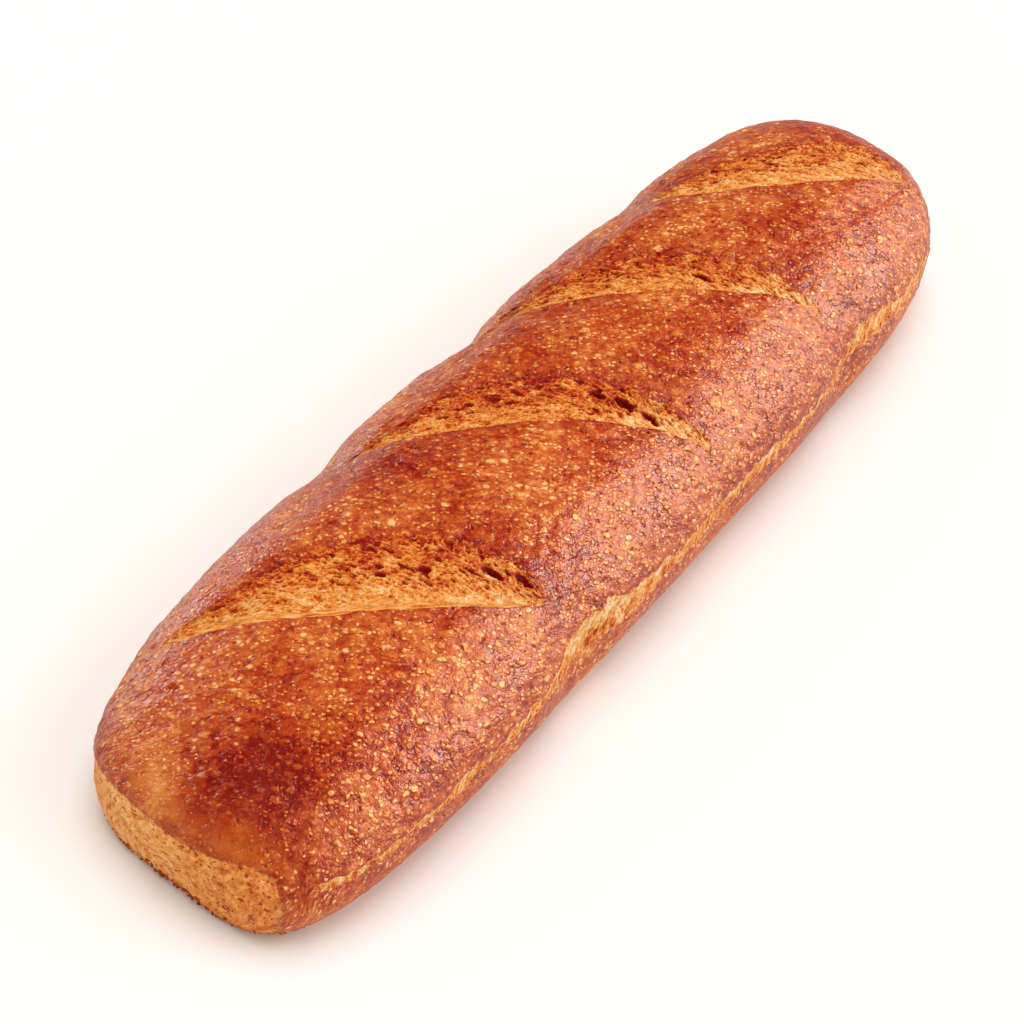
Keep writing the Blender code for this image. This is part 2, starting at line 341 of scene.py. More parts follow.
# Where the dough was dragged into deep wrinkles: (centre, reach)
RUGGED = (
    ((-0.054, -0.040, 0.0496), (0.013, 0.014, 0.014)), ((-0.086, -0.040, 0.049), (0.008, 0.010, 0.010)),
    ((0.026, -0.046, 0.044), (0.012, 0.012, 0.012)), ((0.101, -0.041, 0.046), (0.010, 0.012, 0.012)),
    ((-0.146, 0.038, 0.039), (0.014, 0.014, 0.014)),
)


def end_run(bluntness):
    """Distances in from an end of the loaf, and how far the surface runs from the end to each."""
    away = np.linspace(0, 1, 6001) ** 4 * END_REACH
    radius = END_RADIUS * blunt(away / (LENGTH / 2) - 1, bluntness, bluntness)
    return away, np.concatenate([[0], np.cumsum(np.hypot(np.diff(away), np.diff(radius)))])


def end_shares(bluntness):
    """Shares of END_REACH, from an end of the loaf inwards, evenly spaced along its surface."""
    away, run = end_run(bluntness)
    return np.interp(np.linspace(0, run[-1], round(run[-1] / SPACING) + 1)[1:], run, away / END_REACH)


def laid_out(x, girth):
    """The crust unrolled flat, in metres: along the way that the slashes run, and across it."""
    length = np.array(x, dtype=float)
    for end, bluntness in zip((-1, 1), PLAN_BLUNTNESS):
        away, run = end_run(bluntness)
        depth = LENGTH / 2 - end * x
        longer = (run[-1] - END_REACH) - (np.interp(depth, away, run) - depth)
        length += end * np.where(depth < END_REACH, longer, 0)
    along_it = SLANT[0] * length - SLANT[1] * girth
    across_it = SLANT[1] * length + SLANT[0] * girth
    return points_at(along_it, across_it, 0.0)


def half_stations():
    """The stations up one side: (zone, share, turn), where turn numbers the steps of a turned edge."""
    half = [(BASE, share, 0) for share in even_shares(BASE, BASE_SPACING)[1:]]
    half += [(LOWER, share, 0) for share in even_shares(LOWER, SPACING)[1:]]
    half += [(FLANK, share, 0) for share in even_shares(FLANK, SPACING)[1:]]
    half += [(FLANK, 1.0, turn) for turn in range(1, len(TURNS) + 1)]
    half += [(UPPER, 0.0, -turn) for turn in range(len(TURNS), 0, -1)]
    half += [(UPPER, share, 0) for share in even_shares(UPPER, SPACING)[:-1]]
    return half


half = half_stations()
round_loaf = [(1, BASE, 0.0, 0)] + [(1,) + station for station in half]
round_loaf += [(1, UPPER, 1.0, 0)] + [(-1,) + station for station in half[::-1]]
around = [np.array(column, dtype=float) for column in zip(*round_loaf)]
side, zone, _, station_turn = around
stations = len(side)
top_part = (zone == UPPER)

# Each ring: the curves that it lies between, its share of the way, the slash behind it and the one
# ahead, and its step in a turned edge
last = len(SLASHES) - 1
rings = [("near end", (0, 0), share, None, 0, 0) for share in end_shares(PLAN_BLUNTNESS[0])]
for number in range(last + 1):
    ahead = number + 1 if number < last else None
    rings += [((number, 0), (number, 0), 1.0, None, number, turn) for turn in range(1, len(TURNS) + 1)]
    rings += [((number, 1), (number, 1), 0.0, number, None, -turn) for turn in range(len(TURNS), 0, -1)]
    rings.append(((number, 1), (number, 1), 0.0, number, ahead, 0))
    if ahead is not None:
        count = round(BETWEEN_SLASHES / SPACING)
        rings += [((number, 1), (ahead, 0), step / count, number, ahead, 0) for step in range(1, count + 1)]
    else:
        steps = end_shares(PLAN_BLUNTNESS[1])[::-1][1:]
        rings += [((number, 1), "far end", 1 - step, number, None, 0) for step in steps]


def crust_relief(x, y, z, share, behind, ahead):
    """How far the crust stands out of the smooth form, before its own roughness."""
    out = valleys(x, y, z)
    if ahead is not None:
        out = out + strength(ahead, y) * LIP_RISE * share ** 1.5
    if behind is not None:
        out = out - strength(behind, y) * FAR_DROP * (1 - share) ** 2
    if behind is not None and ahead is not None:
        swell = (1 - share) * strength(behind, y) + share * strength(ahead, y)
        out = out + CRUST_SWELL * math.sin(math.pi * share ** 0.8) * swell
    return out


def crust_ring(ring):
    """The points of one ring of the crust."""
    start, end, share, behind, ahead, turn = ring
    x, y, z = slide(start, end, share, around)
    inward = 0.0
    if turn:
        shift, inward = (TURNS if turn > 0 else FAR_TURNS)[abs(turn) - 1]
        opened = lip_open(start[0], y)
        x, inward = x + math.copysign(shift, shift * turn) * opened, inward * opened
        y, z = outline(x, around)
    rise = np.where(zone == BASE, 0, crust_relief(x, y, z, share, behind, ahead)) - inward
    there = tear_heights(x, side)[3]
    out_y, out_z = outward(x, y, z, around)
    steps = np.array(((0.0, 0.0),) + TURNS)[np.abs(station_turn).astype(int)]
    tangent = np.sign(station_turn) * side * steps[:, 0] * there
    rise = rise - steps[:, 1] * there
    y, z = y + out_y * rise - out_z * tangent, z + out_z * rise + out_y * tangent
    return points_at(x, y, z)


grid = np.stack([crust_ring(ring) for ring in rings])
count = len(rings)
ring_turn = np.array([ring[5] for ring in rings])

# UV layout: rings along U, stations along V, so that each crust lies flat like a skin
run_u = np.linalg.norm(np.diff(grid, axis=0), axis=2).mean(axis=1)
run_u = np.concatenate([[0.5 * SPACING], 0.5 * SPACING + np.cumsum(run_u)])
run_u /= run_u[-1] + 0.5 * SPACING
step_v = np.linalg.norm(np.roll(grid[count // 2], -1, axis=0) - grid[count // 2], axis=1)
run_v = np.concatenate([[0], np.cumsum(step_v)[:-1]])

# Distance round the loaf from its crest; the underside is laid out as it is
step_round = np.hypot(np.diff(grid[:, :, 1], axis=1), np.diff(grid[:, :, 2], axis=1))
girth = np.concatenate([np.zeros((count, 1)), np.cumsum(step_round, axis=1)], axis=1)
girth = girth[:, [len(half) + 1]] - girth
girth = np.where(zone == BASE, grid[:, :, 1], girth)
lay = laid_out(grid[:, :, 0], girth).reshape(-1, 3)
lay = np.concatenate([lay, laid_out(np.array([-LENGTH / 2, LENGTH / 2]), np.zeros(2))])

points = np.concatenate([grid.reshape(-1, 3), [[-LENGTH / 2, 0, END_HEIGHT], [LENGTH / 2, 0, END_HEIGHT]]])
turned = np.maximum(np.abs(ring_turn)[:, None], np.abs(station_turn)[None, :]).reshape(-1) / len(TURNS)
turned = np.concatenate([turned, [0, 0]])
near_pole, far_pole = len(points) - 2, len(points) - 1

faces, face_top, face_uv = [], [], []
v_top = (run_v - run_v[top_part].min()) / (run_v[top_part].max() - run_v[top_part].min())
low_order = np.concatenate([np.where(~top_part & (side < 0))[0], np.where(~top_part & (side > 0))[0]])
v_low = np.zeros(stations)
low_run = np.concatenate([[0], np.cumsum(step_v[low_order])[:-1]])
v_low[low_order] = low_run / (low_run[-1] + 1e-9)
for j in range(stations):
    k = (j + 1) % stations
    if top_part[j] != top_part[k]:
        continue
    v = v_top if top_part[j] else v_low
    for i in range(count - 1):
        if ring_turn[i] == len(TURNS) and ring_turn[i + 1] == -len(TURNS):
            continue
        faces.append((i * stations + j, i * stations + k, (i + 1) * stations + k, (i + 1) * stations + j))
        face_uv += [(run_u[i], v[j]), (run_u[i], v[k]), (run_u[i + 1], v[k]), (run_u[i + 1], v[j])]
        face_top.append(top_part[j])
    end = (count - 1) * stations
    faces += [(k, j, near_pole), (end + j, end + k, far_pole)]
    face_uv += [(run_u[0], v[k]), (run_u[0], v[j]), (0, (v[j] + v[k]) / 2)]
    face_uv += [(run_u[-1], v[j]), (run_u[-1], v[k]), (1, (v[j] + v[k]) / 2)]
    face_top += [top_part[j]] * 2


def write_field(mesh, name, values):
    """Writes an attribute of the vertices: a number for each, or rows of three for vectors."""
    kind, what = ("FLOAT", "value") if values.ndim == 1 else ("FLOAT_VECTOR", "vector")
    held = mesh.attributes.new(name, kind, "POINT")
    held.data.foreach_set(what, values.astype(np.float32).ravel())


def read_field(mesh, name):
    held = mesh.attributes[name]
    size, what = (1, "value") if held.data_type == "FLOAT" else (3, "vector")
    found = np.empty(len(mesh.vertices) * size, dtype=np.float32)
    held.data.foreach_get(what, found)
    return (found if size == 1 else found.reshape(-1, 3)).astype(float)


def vertex_normals(mesh):
    found = np.empty(len(mesh.vertices) * 3, dtype=np.float32)
    mesh.vertex_normals.foreach_get("vector", found)
    return found.reshape(-1, 3).astype(float)


def write_uv(mesh, uv):
    """The layout of the baked pictures, for each corner of each face."""
    layer = mesh.uv_layers.new(name="OFBake")
    layer.data.foreach_set("uv", np.asarray(uv, dtype=np.float32).ravel())


skin = bpy.data.meshes.new("crust")
skin.from_pydata(points.tolist(), [], faces)
write_uv(skin, face_uv)
write_field(skin, "edge", turned)
write_field(skin, "lay", lay * 1000)
skin.attributes.new("is_top", "INT", "FACE").data.foreach_set("value", np.array(face_top, dtype=np.int32))
sewn = bmesh.new()
sewn.from_mesh(skin)
bmesh.ops.remove_doubles(sewn, verts=sewn.verts, dist=4e-6)
bmesh.ops.dissolve_degenerate(sewn, edges=sewn.edges, dist=2e-6)
sewn.normal_update()
sewn.to_mesh(skin)
sewn.free()

spots = read_field(skin, "position")
normals = vertex_normals(skin)
x, y, z = spots.T
edge = read_field(skin, "edge")
lay = read_field(skin, "lay") / 1000


def lobe(centre, reach):
    """1 at a place on the crust, fading to 0 about `reach` away from it."""
    off = (spots - np.array(centre)) / np.array(reach)
    return np.exp(-np.sum(off * off, axis=1))


def unevenness(spots):
    """The broad unevenness of the dough, in its crust and its crumb alike."""
    return 0.00052 * noise(spots, 0.021, 21) + 0.00026 * noise(spots, (0.0075, 0.010, 0.010), 22)


# Depth in millimetres inside the pale face of the near end; below 0 is crust
corner = (-0.1672 - x) * 0.40 + 0.0010 * smooth(z, 0.0, 0.012) + 0.0009 * noise(spots, 0.0045, 25)
pale = np.minimum(np.interp(y, *zip(*PALE_EDGE)) - z + 0.0004 * noise(spots, 0.006, 20), corner)
pale = np.minimum(pale, 0.25 * (y - PALE_SIDE) + 0.0005 * noise(spots, 0.0030, 29))
pale = np.clip(pale, -0.02, 0.02) * 1000
sides = smooth(np.abs(normals[:, 1]), 0.35, 0.9)
upward = smooth(normals[:, 2], -0.4, 0.1)
rough = unevenness(spots)
rugged = sum(lobe(centre, reach) for centre, reach in RUGGED)
rough += (0.00022 + 0.00016 * sides + 0.00012 * rugged) * noise(lay, (0.0066, 0.0036, 1), 23)
rough += (0.00017 + 0.00012 * sides + 0.00026 * rugged) * noise(lay, (0.0040, 0.0022, 1), 24)
rough *= 0.25 + 0.75 * upward
rough -= 0.00030 * smooth(pale, -0.4, 1.2)
rough *= smooth(z, -0.0005, 0.004)
# the rim that lay on the tray: thin, ragged and a little blistered
low, high, low_opened, there = tear_heights(x, np.sign(y))
under_tear = smooth(section(x)[3] + low - z, -0.0015, 0.0015) * there
strands = noise(spots, (0.0026, 1, 0.009), 31)
rough += 0.00032 * low_opened * under_tear * strands
rim = smooth(z, 0.0, 0.0008) * (1 - smooth(z, 0.004, 0.009)) * smooth(normals[:, 2], -0.99, -0.7)
rough += 0.00030 * rim * noise(spots, 0.0030, 26)
spots = spots + normals * (rough * (1 - 0.6 * edge * there))[:, None]
spots[:, 2] = np.maximum(spots[:, 2], 0)
skin.vertices.foreach_set("co", spots.astype(np.float32).ravel())
skin.update()
write_field(skin, "pale", pale)

# Broad differences in the bake, with painted shade: below 0 paler and more orange, above 0 darker. The -Y
# flank, where the side light and the reflectors fall, is painted darker as shade against their light
bake = 0.12 * smooth(-spots[:, 1], 0.012, 0.050)
bake += sum(darker * lobe(centre, reach) for darker, centre, reach in BAKED_AND_SHADED)
patchy = 0.7 + 0.5 * noise(spots, 0.006, 27)
for number in range(len(SLASHES)):
    near, far = lips(number, spots[:, 1])
    gap = spots[:, 0] - far
    by_far_lip = np.exp(-np.maximum(gap, 0) / 0.0035) * (gap > -0.0008) * (gap < 0.02)
    gap = near - spots[:, 0]
    by_near_lip = np.exp(-np.maximum(gap, 0) / 0.0025) * (gap > -0.0008) * (gap < 0.02)
    bake += strength(number, spots[:, 1]) * patchy * (0.55 * by_far_lip + 0.25 * by_near_lip)
# below a tear the crust is paler, and streaked gold where the tear opened and drew it out
paler = 0.12 * (1 - smooth(spots[:, 2], 0.012, 0.024)) + low_opened * (0.36 + 0.70 * strands)
bake -= paler * under_tear * smooth(spots[:, 2], 0.0002, 0.001)
write_field(skin, "bake", bake)
# The far end, and a part of the near end that is smooth and orange, have hardly a fleck
calm = lobe((-0.170, 0.012, 0.033), (0.014, 0.018, 0.006))
calm += lobe((-0.170, -0.020, 0.032), (0.014, 0.014, 0.006))
calm += 0.8 * smooth(spots[:, 0], 0.170, 0.179)
# and the -Y flank that rose last is the most speckled, its flecks brighter and the crust between them darker,
# in part a painted sheen on the flecks
calm -= 0.34 * smooth(-spots[:, 1], 0.016, 0.044) * smooth(spots[:, 2], 0.010, 0.026)
write_field(skin, "calm", np.clip(calm, -0.5, 1))
# the whole skin's normals, so that no seam shows once it is parted
write_field(skin, "whole_normal", vertex_normals(skin))


def to_linear(code):
    """An sRGB hex colour as linear RGBA."""
    channels = [int(code[k:k + 2], 16) / 255 for k in (1, 3, 5)]
    return tuple(c / 12.92 if c <= 0.04045 else ((c + 0.055) / 1.055) ** 2.4 for c in channels) + (1.0,)


def node(tree, kind, settings=(), **inputs):
    """Adds a node, or takes one that is there. Settings are its own properties, and tones are the stops
    of a ramp. An input is a value or the socket that feeds it."""
    made = kind if isinstance(kind, bpy.types.Node) else tree.nodes.new("ShaderNode" + kind)
    for name, value in dict(settings).items():
        if name == "tones":
            stops = made.color_ramp.elements
            while len(stops) < len(value):
                stops.new(0.5)
            for stop, (position, code) in zip(stops, value):
                stop.position, stop.color = position, to_linear(code)
        else:
            setattr(made, name, value)
    for name, value in inputs.items():
        socket = made.inputs[int(name[1:])] if name[1:].isdigit() else made.inputs[name.replace("_", " ")]
        if isinstance(value, bpy.types.NodeSocket):
            tree.links.new(value, socket)
        else:
            socket.default_value = value
    return made


SCALE_ADD = {"operation": "MULTIPLY_ADD"}
STEP = {"interpolation_type": "SMOOTHSTEP"}


def weighted_sum(tree, total, *parts):
    """Adds to a number or socket each part times its weight."""
    for part, weight in parts:
        total = node(tree, "Math", SCALE_ADD, _0=part, _1=weight, _2=total).outputs[0]
    return total


def fields(tree, *names):
    """The attributes with these names, as sockets."""
    return [node(tree, "Attribute", {"attribute_name": name}).outputs["Fac"] for name in names]


def inside_specks(tree, at, size, bare, widest, uneven):
    """Specks in cells of a size in mm, with a share of the cells left bare and the widest reach given in
    cells: how far inside one a place is, and a random number for each speck."""
    cells = node(tree, "TexVoronoi", Vector=at, Scale=1 / size)
    chance, other = node(tree, "SeparateColor", Color=cells.outputs["Color"]).outputs[:2]
    reach = node(tree, "MapRange", Value=chance, _1=bare, _2=1.0, _3=0.0, _4=widest).outputs[0]
    away = node(tree, "Math", {"operation": "ADD"}, _0=cells.outputs["Distance"], _1=uneven).outputs[0]
    return node(tree, "Math", {"operation": "SUBTRACT"}, _0=reach, _1=away).outputs[0], other


def new_material(name):
    """A material, its tree, its shader and its place on the object in mm."""
    made = bpy.data.materials.new(name)
    made.use_nodes = True
    tree = made.node_tree
    place = node(tree, "TexCoord").outputs["Object"]
    mm = node(tree, "VectorMath", {"operation": "SCALE"}, _0=place, Scale=1000.0).outputs[0]
    return made, tree, tree.nodes["Principled BSDF"], mm


# Baked wheat crust: thin, dry and satin from the steam of the oven, red brown, with yellow blisters and
# bran flecks 0.5 to 3 mm across that stand a little proud, and fine wrinkles that were drawn out the way
# the dough was rolled.
baked_crust, tree, shader, mm = new_material("baked_wheat_crust")
unrolled = node(tree, "Attribute", {"attribute_name": "lay"}).outputs["Vector"]
warp = node(tree, "TexNoise", Vector=unrolled, Scale=1 / 2.6, Detail=2.0).outputs["Color"]
lie = node(tree, "VectorMath", SCALE_ADD, _0=warp, _1=(1.8, 1.5, 1.0), _2=unrolled).outputs[0]
lie = node(tree, "VectorMath", {"operation": "MULTIPLY"}, _0=lie, _1=(0.70, 1.0, 1.0)).outputs[0]
broad = node(tree, "TexNoise", Vector=mm, Scale=1 / 22, Detail=3.0, Roughness=0.6).outputs["Fac"]
mottle = node(tree, "TexNoise", Vector=lie, Scale=1 / 3.0, Detail=3.0, Roughness=0.62).outputs["Fac"]
fine = node(tree, "TexNoise", Vector=lie, Scale=1 / 0.95, Detail=2.0, Roughness=0.6).outputs["Fac"]
wrinkle = node(tree, "TexNoise", {"noise_type": "RIDGED_MULTIFRACTAL"}, Vector=lie, Scale=1 / 2.6,
               Detail=2.0, Roughness=0.5).outputs["Fac"]
calm_here, bake_and_shade_here, pale_here, edge_here = fields(tree, "calm", "bake", "pale", "edge")
lively = node(tree, "MapRange", Value=calm_here, _1=-0.5, _2=1.0, _3=1.50, _4=0.30).outputs[0]
FLECKS = (    # cell size in mm, share of cells without one, widest reach in cells, height in mm, strength
    (2.9, 0.57, 0.50, 0.46, 0.90), (1.7, 0.27, 0.55, 0.32, 1.00), (1.0, 0.14, 0.60, 0.19, 1.00),
)
heights = fleck = 0.0
uneven = weighted_sum(tree, -0.60, (fine, 0.70), (mottle, 0.50), (calm_here, 0.15))
for size, bare, widest, tall, strong in FLECKS:
    inside, other = inside_specks(tree, lie, size, bare, widest, uneven)
    disc = node(tree, "MapRange", STEP, Value=inside, _1=-0.05, _2=0.30, _3=0.0, _4=1.0).outputs[0]
    other = node(tree, "MapRange", Value=other, _1=0.0, _2=1.0, _3=0.45 * strong, _4=1.15 * strong).outputs[0]
    shown = node(tree, "Math", {"operation": "MULTIPLY"}, _0=disc, _1=other).outputs[0]
    fleck = node(tree, "Math", {"operation": "MAXIMUM"}, _0=fleck, _1=shown).outputs[0]
    heights = weighted_sum(tree, heights, (disc, tall))
pit_at = node(tree, "VectorMath", _0=lie, _1=(91.0, 17.0, 5.0)).outputs[0]
pit_noise = node(tree, "TexNoise", Vector=pit_at, Scale=1 / 1.5, Detail=2.0).outputs["Fac"]
pit = node(tree, "MapRange", STEP, Value=pit_noise, _1=0.63, _2=0.75, _3=0.0, _4=1.0).outputs[0]

# the pits are darkened with painted shade
small = weighted_sum(tree, -1.01, (mottle, 1.00), (fine, 0.90), (pit, -0.44), (fleck, 0.52))
tone = weighted_sum(tree, -0.02, (bake_and_shade_here, -0.50), (broad, 1.00), (small, lively))
CRUST_TONES = (
    (0.04, "#860A00"), (0.24, "#A62A02"), (0.46, "#BE480C"), (0.64, "#D2681E"), (0.80, "#E68C40"),
    (1.0, "#FABE78"),
)
colour = node(tree, "ValToRGB", {"tones": CRUST_TONES}, Fac=tone).outputs[0]

# The near end: a soft pale face with dark bran specks
pale_here = weighted_sum(tree, pale_here, (fine, 1.2))
pale_mask = node(tree, "MapRange", STEP, Value=pale_here, _1=0.40, _2=1.10, _3=0.0, _4=1.0).outputs[0]
across, up = node(tree, "SeparateXYZ", Vector=mm).outputs[1:3]
toward_corner = node(tree, "MapRange", STEP, Value=across, _1=10.0, _2=-36.0, _3=0.13, _4=-0.10).outputs[0]
by_tray = node(tree, "MapRange", STEP, Value=up, _1=0.5, _2=5.0, _3=-0.26, _4=0.0).outputs[0]
pale_tone = weighted_sum(tree, -0.60, (mottle, 1.2), (fine, 1.0), (toward_corner, 1.0), (by_tray, 1.0))
shifted = node(tree, "VectorMath", SCALE_ADD, _0=warp, _1=(1.2, 1.2, 1.2), _2=mm).outputs[0]
uneven = weighted_sum(tree, -0.25, (fine, 0.50))
for size, bare, widest in ((3.2, 0.40, 0.36), (2.1, 0.20, 0.42), (1.3, 0.20, 0.44)):      # as for the flecks
    inside = inside_specks(tree, shifted, size, bare, widest, uneven)[0]
    bran = node(tree, "MapRange", STEP, Value=inside, _1=-0.04, _2=0.20, _3=0.0, _4=0.48).outputs[0]
    pale_tone = weighted_sum(tree, pale_tone, (bran, -1.0))
PALE_TONES = ((0.0, "#A8380C"), (0.2, "#CC601E"), (0.42, "#E68A38"), (0.62, "#F6A856"), (0.9, "#FFCA8A"))
pale_colour = node(tree, "ValToRGB", {"tones": PALE_TONES}, Fac=pale_tone).outputs[0]
RGBA = {"data_type": "RGBA"}
colour = node(tree, "Mix", RGBA, _0=pale_mask, _6=colour, _7=pale_colour).outputs[2]

# The turned edges, where the crust passes into crumb
edge_tone = weighted_sum(tree, -0.7, (fine, 1.4), (edge_here, 1.0))
edge_mask = node(tree, "MapRange", STEP, Value=edge_tone, _1=0.35, _2=0.85, _3=0.0, _4=1.0).outputs[0]
colour = node(tree, "Mix", RGBA, _0=edge_mask, _6=colour, _7=to_linear("#E08A3C")).outputs[2]

# Satin in patches, and matt on the pale face
dull = node(tree, "MapRange", STEP, Value=broad, _1=0.38, _2=0.62, _3=0.0, _4=0.16).outputs[0]
gloss = node(tree, "MapRange", Value=mottle, _1=0.3, _2=0.7, _3=0.28, _4=0.42).outputs[0]
gloss = weighted_sum(tree, gloss, (dull, 1.0))
gloss = node(tree, "Mix", {"data_type": "FLOAT"}, _0=pale_mask, _2=gloss, _3=0.75).outputs[0]

# Blisters, wrinkles and pits, and the pale face nearly flat
low = weighted_sum(tree, heights, (wrinkle, 0.10), (fine, 0.34), (mottle, 0.95), (pit, -0.32))
flat = weighted_sum(tree, 0.78, (fine, 0.60))
low = node(tree, "Mix", {"data_type": "FLOAT"}, _0=pale_mask, _2=low, _3=flat).outputs[0]
bump = node(tree, "Bump", Strength=1.0, Distance=0.00105, Height=low).outputs[0]
node(tree, shader, Base_Color=colour, Roughness=gloss, Normal=bump, IOR=1.45, Specular_IOR_Level=0.35,
     Specular_Tint=(1.0, 0.97, 0.84, 1))


def add_piece(name, mesh, material):
    """Links a finished mesh as a piece that stands for the loaf's CAD node."""
    piece = bpy.data.objects.new(name, mesh)
    mesh.materials.clear()
    mesh.materials.append(material)
    bpy.context.scene.collection.objects.link(piece)
    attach(piece, "root")
    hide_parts("loaf")
    return piece


is_top = np.empty(len(skin.polygons), dtype=np.int32)
skin.attributes["is_top"].data.foreach_get("value", is_top)
for name, wanted in (("top_crust", 1), ("base_crust", 0)):
    cut = bmesh.new()
    cut.from_mesh(skin)
    cut.faces.ensure_lookup_table()
    gone = [face for face, top in zip(cut.faces, is_top) if top != wanted]
    bmesh.ops.delete(cut, geom=gone, context="FACES")
    data = bpy.data.meshes.new(name)
    cut.to_mesh(data)
    cut.free()
    data.shade_smooth()
    data.normals_split_custom_set_from_vertices(read_field(data, "whole_normal").tolist())
    data.attributes.remove(data.attributes["whole_normal"])
    data.attributes.remove(data.attributes["is_top"])
    add_piece(name, data, baked_crust)
bpy.data.meshes.remove(skin)

# ---------------------------------------------------------------------------------------------------
# The crumb in the slashes: the inside of the dough, torn open by the bake, so porous, matt and pale,
# streaked where it slid out last behind the near lip, and browned along the far lip.
# ---------------------------------------------------------------------------------------------------
CRUMB_SPACING = 0.00030
WIDEST_OPENING = 0.0264
TUCK = 0.0018             # how far the crumb runs on under the crust, and past a slash's tips
BEYOND_LEFT = 0.004
BEYOND_RIGHT = 0.011
FIBRES = (0.0052, 0.0022, 0.0026, 0.0020)   # width of the combed crumb behind each near lip
BROWNED = (0.0, 0.30, 0.26, 0.0)            # how much browner the crumb of each slash is in its middle
PALE_TIPS = (0.20, 0.75, 0.95, 0.35)        # how much paler it is towards its -Y tip
LARGE_PORES = (    # (x, y, length, width, depth) of those that are plain to see
    (0.0052, -0.0100, 0.0050, 0.0024, 0.0034), (0.0080, -0.0187, 0.0064, 0.0026, 0.0042),
    (0.0100, -0.0275, 0.0060, 0.0020, 0.0036), (-0.0162, 0.0147, 0.0044, 0.0026, 0.0022),
    (-0.0794, -0.0114, 0.0036, 0.0018, 0.0024), (-0.0888, -0.0023, 0.0030, 0.0018, 0.0020),
    (-0.1208, 0.0256, 0.0040, 0.0020, 0.0016), (-0.1334, 0.0318, 0.0028, 0.0016, 0.0016),
    (-0.0675, -0.0270, 0.0078, 0.0018, 0.0030), (-0.0625, -0.0350, 0.0070, 0.0015, 0.0028),
    (-0.0712, -0.0215, 0.0050, 0.0014, 0.0022), (0.0680, -0.0047, 0.0052, 0.0020, 0.0030),
    (0.1316, 0.0102, 0.0036, 0.0018, 0.0022), (0.1127, 0.0201, 0.0032, 0.0018, 0.0018),
    (0.1230, 0.0169, 0.0036, 0.0018, 0.0022),
)


def foam(p, q, seed):
    """Cells about 1 wide: distance to the nearest centre, how much farther the next one is, and two
    random numbers of the nearest."""
    near, far = np.full(p.shape, 9.0), np.full(p.shape, 9.0)
    chance, other = np.zeros(p.shape), np.zeros(p.shape)
    for step in np.ndindex(3, 3):
        column = np.floor(p).astype(np.int64) + step[0] - 1
        row = np.floor(q).astype(np.int64) + step[1] - 1
        mixed = column * 73856093 ^ row * 19349663 ^ seed * 2654435
        mixed = (mixed ^ (mixed >> 13)) * 1274126177
        drawn = [((mixed >> shift) & 1023) / 1023 for shift in (7, 17, 27, 37)]
        away = np.hypot(p - column - drawn[0], q - row - drawn[1])
        closer = away < near
        far = np.where(closer, near, np.minimum(far, away))
        chance, other = np.where(closer, drawn[2], chance), np.where(closer, drawn[3], other)
        near = np.minimum(near, away)
    return near, far - near, chance, other


def pores(p, q, size, stretch, share, deep, seed):
    """Depth of pores of about this size, and how near a wall between two of them is (0 to 1)."""
    near, wall, chance, other = foam(p / (size * stretch), q / size, seed)
    reach = 0.30 + 0.26 * other
    open_here = np.clip(1 - (near / reach) ** 2.6, 0, 1) ** 0.8 * smooth(wall, 0.0, 0.16)
    depth = deep * (0.55 + 0.45 * other) * open_here * smooth(chance, 1 - share, 1.06 - share)
    return depth, 1 - smooth(wall, 0.0, 0.30)


def crumb_mesh(name, points, columns, flipped, grained, **here):
    """A mesh over a grid of points, from one column to another. On it are the way that its grain runs,
    and these for each point: the painted shade of its pores and painted highlight of its lumps, band (of
    fibres), its browning with painted shade under a lip, and the painted highlight of the walls between
    pores."""
    rows, width = points.shape[:2]
    row, column = np.mgrid[:rows - 1, columns[0]:columns[1]]
    corner = row * width + column
    cells = points_at(corner, corner + 1, corner + width + 1, corner + width).reshape(-1, 4)
    if flipped:
        cells = cells[:, ::-1]
    mesh = bpy.data.meshes.new(name)
    mesh.from_pydata(points.reshape(-1, 3).tolist(), [], cells.tolist())
    u = (np.arange(width) - columns[0]) / (columns[1] - columns[0])
    uv = points_at(u, np.linspace(0, 1, rows)[:, None]).reshape(-1, 2)
    write_uv(mesh, uv[cells.ravel()])
    write_field(mesh, "grained", grained.reshape(-1, 3) * 1000)
    for field, values in here.items():
        write_field(mesh, field, values.ravel())
    loose = bmesh.new()
    loose.from_mesh(mesh)
    bmesh.ops.delete(loose, geom=[v for v in loose.verts if not v.link_faces], context="VERTS")
    loose.to_mesh(mesh)
    loose.free()
    mesh.shade_smooth()
    return mesh


